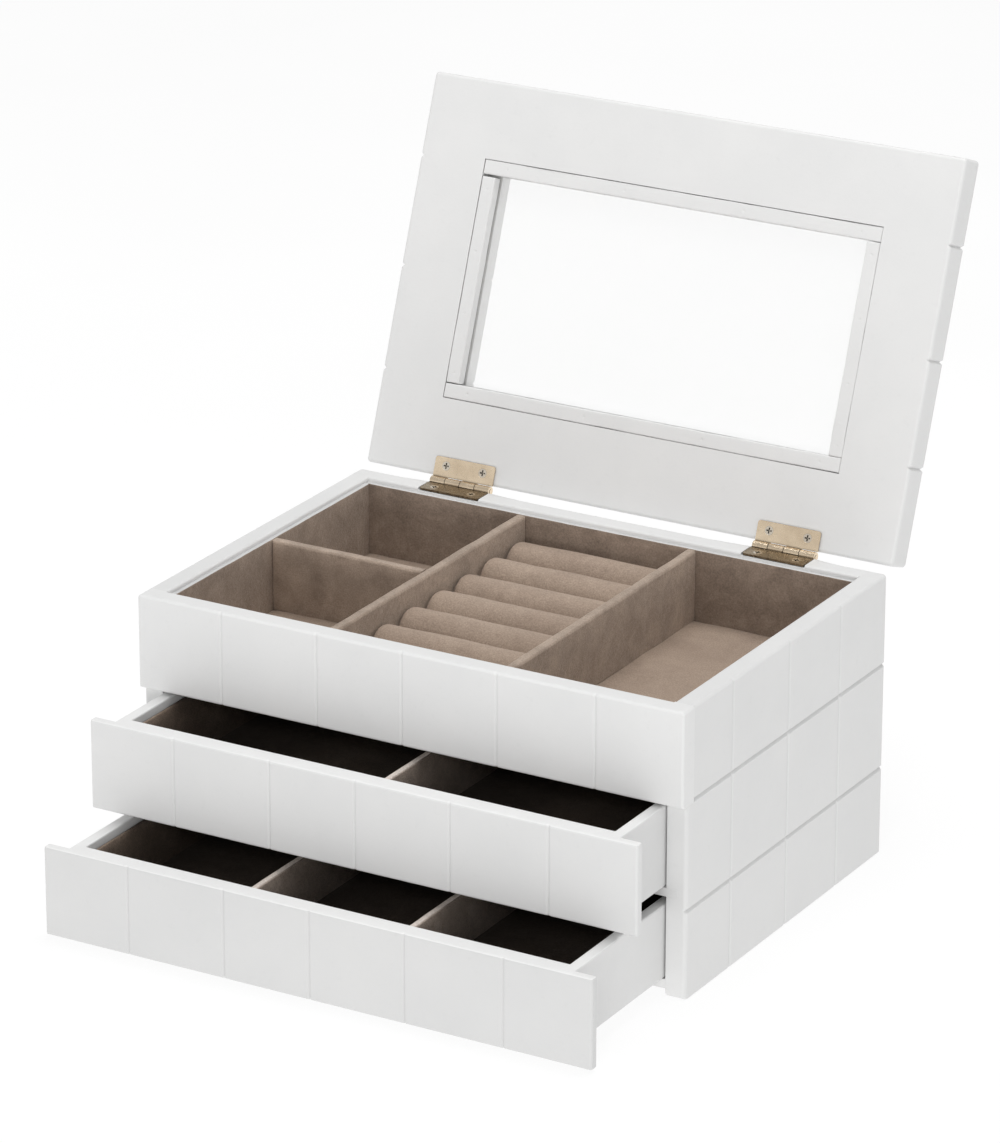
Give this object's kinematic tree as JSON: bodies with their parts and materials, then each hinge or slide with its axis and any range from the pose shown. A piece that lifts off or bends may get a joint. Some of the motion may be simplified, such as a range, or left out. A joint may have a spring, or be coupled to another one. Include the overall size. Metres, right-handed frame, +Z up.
{
  "type": "jewellery chest with drawers",
  "caption": "White painted jewellery chest with a glazed hinged lid over a velvet-lined ring tray, and planked drawers below that slide out.",
  "frame": {"origin": "on the floor under the middle of the case", "axes": "+X to the chest's right seen from the front, +Y to the hinged back, +Z up; the drawers pull out along -Y"},
  "size_m": [0.26, 0.3322, 0.2937],
  "materials": {
    "white_paint": "satin white paint on board, lightly rubbed at the edges",
    "taupe_velvet": "short-pile taupe velvet on card",
    "roll_velvet": "short-pile taupe velvet over soft foam",
    "hinge_brass": "pale satin brass plating",
    "screw_steel": "pale brass-plated countersunk screws",
    "window_glass": "clear float glass"
  },
  "bodies": {
    "case": {"left_side_panel": "white_paint", "right_side_panel": "white_paint", "back_panel": "white_paint", "top_front_board": "white_paint", "tray_floor_panel": "white_paint", "middle_shelf": "white_paint", "base_panel": "white_paint", "tray_lining_front": "taupe_velvet", "tray_lining_back": "taupe_velvet", "tray_lining_left": "taupe_velvet", "tray_lining_right": "taupe_velvet", "tray_lining_floor": "taupe_velvet", "left_tray_divider": "taupe_velvet", "right_tray_divider": "taupe_velvet", "cross_tray_divider": "taupe_velvet", "ring_roll_1": "roll_velvet", "ring_roll_2": "roll_velvet", "ring_roll_3": "roll_velvet", "ring_roll_4": "roll_velvet", "ring_roll_5": "roll_velvet", "ring_roll_6": "roll_velvet", "ring_roll_7": "roll_velvet", "left_hinge_case_leaf": "hinge_brass", "left_hinge_pin": "hinge_brass", "left_hinge_case_screw_1": "screw_steel", "left_hinge_case_screw_2": "screw_steel", "right_hinge_case_leaf": "hinge_brass", "right_hinge_pin": "hinge_brass", "right_hinge_case_screw_1": "screw_steel", "right_hinge_case_screw_2": "screw_steel"},
    "lid": {"lid_panel": "white_paint", "window_glass": "window_glass", "window_bead_front": "white_paint", "window_bead_back": "white_paint", "window_bead_left": "white_paint", "window_bead_right": "white_paint", "left_hinge_lid_leaf": "hinge_brass", "left_hinge_lid_screw_1": "screw_steel", "left_hinge_lid_screw_2": "screw_steel", "right_hinge_lid_leaf": "hinge_brass", "right_hinge_lid_screw_1": "screw_steel", "right_hinge_lid_screw_2": "screw_steel"},
    "middle_drawer": {"middle_drawer_front": "white_paint", "middle_drawer_box_front": "white_paint", "middle_drawer_box_back": "white_paint", "middle_drawer_box_left": "white_paint", "middle_drawer_box_right": "white_paint", "middle_drawer_bottom": "white_paint", "middle_drawer_lining": "taupe_velvet", "middle_drawer_divider": "taupe_velvet"},
    "bottom_drawer": {"bottom_drawer_front": "white_paint", "bottom_drawer_box_front": "white_paint", "bottom_drawer_box_back": "white_paint", "bottom_drawer_box_left": "white_paint", "bottom_drawer_box_right": "white_paint", "bottom_drawer_bottom": "white_paint", "bottom_drawer_lining": "taupe_velvet", "bottom_drawer_divider_1": "taupe_velvet", "bottom_drawer_divider_2": "taupe_velvet"}
  },
  "joints": [
    {"name": "lid_hinge", "type": "hinge", "parent": "case", "child": "lid", "pos_m": [0, 0.0923, 0.128], "axis": [-1, 0, 0], "range_deg": [-110.4, 0]},
    {"name": "middle_drawer_slide", "type": "slide", "parent": "case", "child": "middle_drawer", "axis": [0, -1, 0], "range_m": [-0.0375, 0.0925]},
    {"name": "bottom_drawer_slide", "type": "slide", "parent": "case", "child": "bottom_drawer", "axis": [0, -1, 0], "range_m": [-0.0736, 0.0564]}
  ]
}
